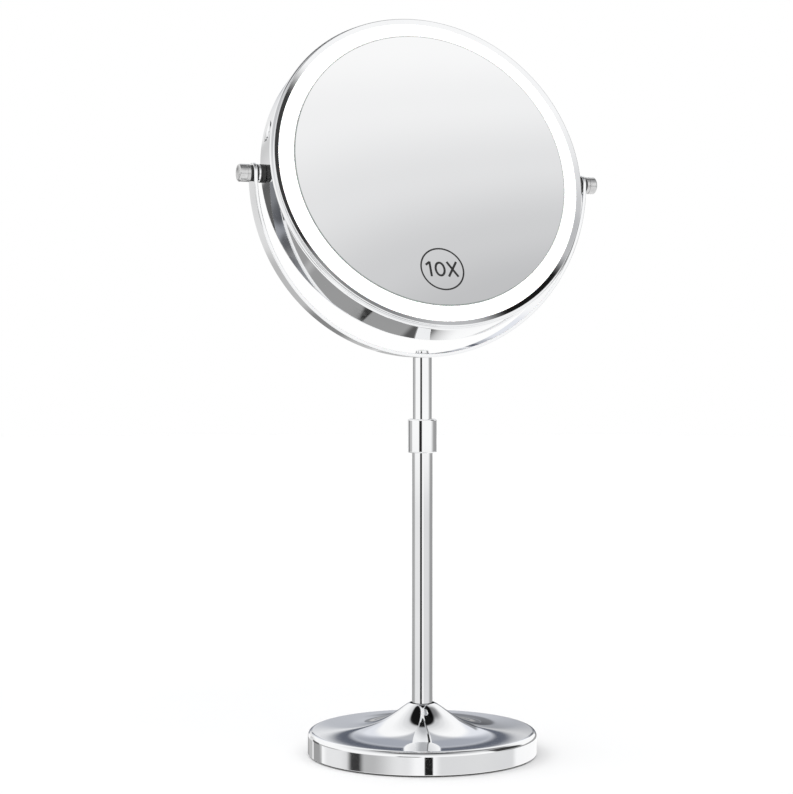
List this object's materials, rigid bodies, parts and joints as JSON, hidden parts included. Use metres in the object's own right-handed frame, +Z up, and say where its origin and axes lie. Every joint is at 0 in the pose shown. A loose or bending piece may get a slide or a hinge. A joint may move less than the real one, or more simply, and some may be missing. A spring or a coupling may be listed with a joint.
{
  "type": "lighted vanity mirror",
  "caption": "Double-sided round magnifying mirror with a light ring on each face, tilting in a U-shaped yoke on a telescopic stand with a round weighted base.",
  "frame": {"origin": "centre of the foot pad's underside, on the table", "axes": "+Z up along the stem, the yoke's pivot axis along X, the magnifying face towards -Y and tilted back"},
  "size_m": [0.267, 0.16, 0.5152],
  "materials": {
    "chrome": "bright chrome plating on steel",
    "plated_plastic": "bright chrome plating on moulded ABS",
    "satin_metal": "satin nickel plating",
    "plain_steel": "zinc plated",
    "black_steel": "black powder coat",
    "cast_iron": "as cast",
    "brass": "turned",
    "rubber": "soft matt",
    "black_nylon": "moulded nylon",
    "white_nylon": "moulded nylon",
    "frosted": "frosted light-spreading acrylic",
    "mirror": "silvered glass",
    "tape": "foam adhesive",
    "white_plastic": "moulded ABS",
    "circuit_board": "white solder mask",
    "led": "moulded phosphor package",
    "cell_foil": "laminated foil pouch",
    "button_chrome": "bright chrome plating on moulded ABS",
    "lead_cover": "extruded PVC"
  },
  "bodies": {
    "stand": {"base_shell": "chrome", "base_weight": "cast_iron", "base_plate": "black_steel", "foot_pad": "rubber", "base_screws": "plain_steel", "stem_bolt": "plain_steel", "stem_washer": "plain_steel", "foot_plug": "plain_steel", "outer_tube": "chrome", "height_collar": "chrome", "collar_liner": "white_nylon"},
    "slider": {"slide_bush": "white_nylon"},
    "mast": {"tube_spigot": "brass", "inner_tube": "chrome", "top_plug": "plain_steel", "yoke": "chrome", "yoke_washer": "plain_steel", "yoke_screw": "chrome", "left_yoke_bush": "white_nylon", "right_yoke_bush": "white_nylon"},
    "power_button": {"power_button": "button_chrome", "switch_plunger": "black_nylon"},
    "left_knob": {"left_knob": "satin_metal"},
    "right_knob": {"right_knob": "satin_metal"},
    "head": {"rim_band": "plated_plastic", "front_bezel": "plated_plastic", "rear_bezel": "plated_plastic", "front_light_ring": "frosted", "rear_light_ring": "frosted", "front_led_board": "circuit_board", "rear_led_board": "circuit_board", "front_leds": "led", "rear_leds": "led", "front_mirror": "mirror", "rear_mirror": "mirror", "front_mirror_tape": "tape", "rear_mirror_tape": "tape", "chassis": "white_plastic", "led_screws": "plain_steel", "control_board": "circuit_board", "board_screws": "plain_steel", "battery": "cell_foil", "battery_strap": "plain_steel", "leads": "lead_cover", "power_switch": "black_nylon", "switch_board": "circuit_board", "charging_socket": "plain_steel", "charge_board": "circuit_board", "boss_screws": "plain_steel", "left_pivot_boss": "plain_steel", "right_pivot_boss": "plain_steel", "left_pivot_stud": "plain_steel", "right_pivot_stud": "plain_steel", "pivot_spacers": "black_nylon", "rubber_washers": "rubber", "steel_washers": "chrome", "nylon_washers": "black_nylon", "knob_washers": "rubber"}
  },
  "joints": [
    {"name": "height_slide", "type": "slide", "parent": "stand", "child": "slider", "axis": [0, 0, 1], "range_m": [-0.04, 0.06]},
    {"name": "mast_swivel", "type": "hinge", "parent": "slider", "child": "mast", "pos_m": [0, 0, 0.0835], "axis": [0, 0, 1], "continuous": true},
    {"name": "head_tilt", "type": "hinge", "parent": "mast", "child": "head", "pos_m": [0, 0, 0.401], "axis": [1, 0, 0], "continuous": true},
    {"name": "button_press", "type": "slide", "parent": "head", "child": "power_button", "axis": [0.9659, -0.0757, -0.2475], "range_m": [0, 0.0008], "stiffness_N_per_m": 1500, "springref_m": -0.001},
    {"name": "left_knob_turn", "type": "hinge", "parent": "head", "child": "left_knob", "pos_m": [-0.129, 0, 0.401], "axis": [-1, 0, 0], "range_deg": [0, 180]},
    {"name": "right_knob_turn", "type": "hinge", "parent": "head", "child": "right_knob", "pos_m": [0.129, 0, 0.401], "axis": [1, 0, 0], "range_deg": [0, 180]}
  ]
}
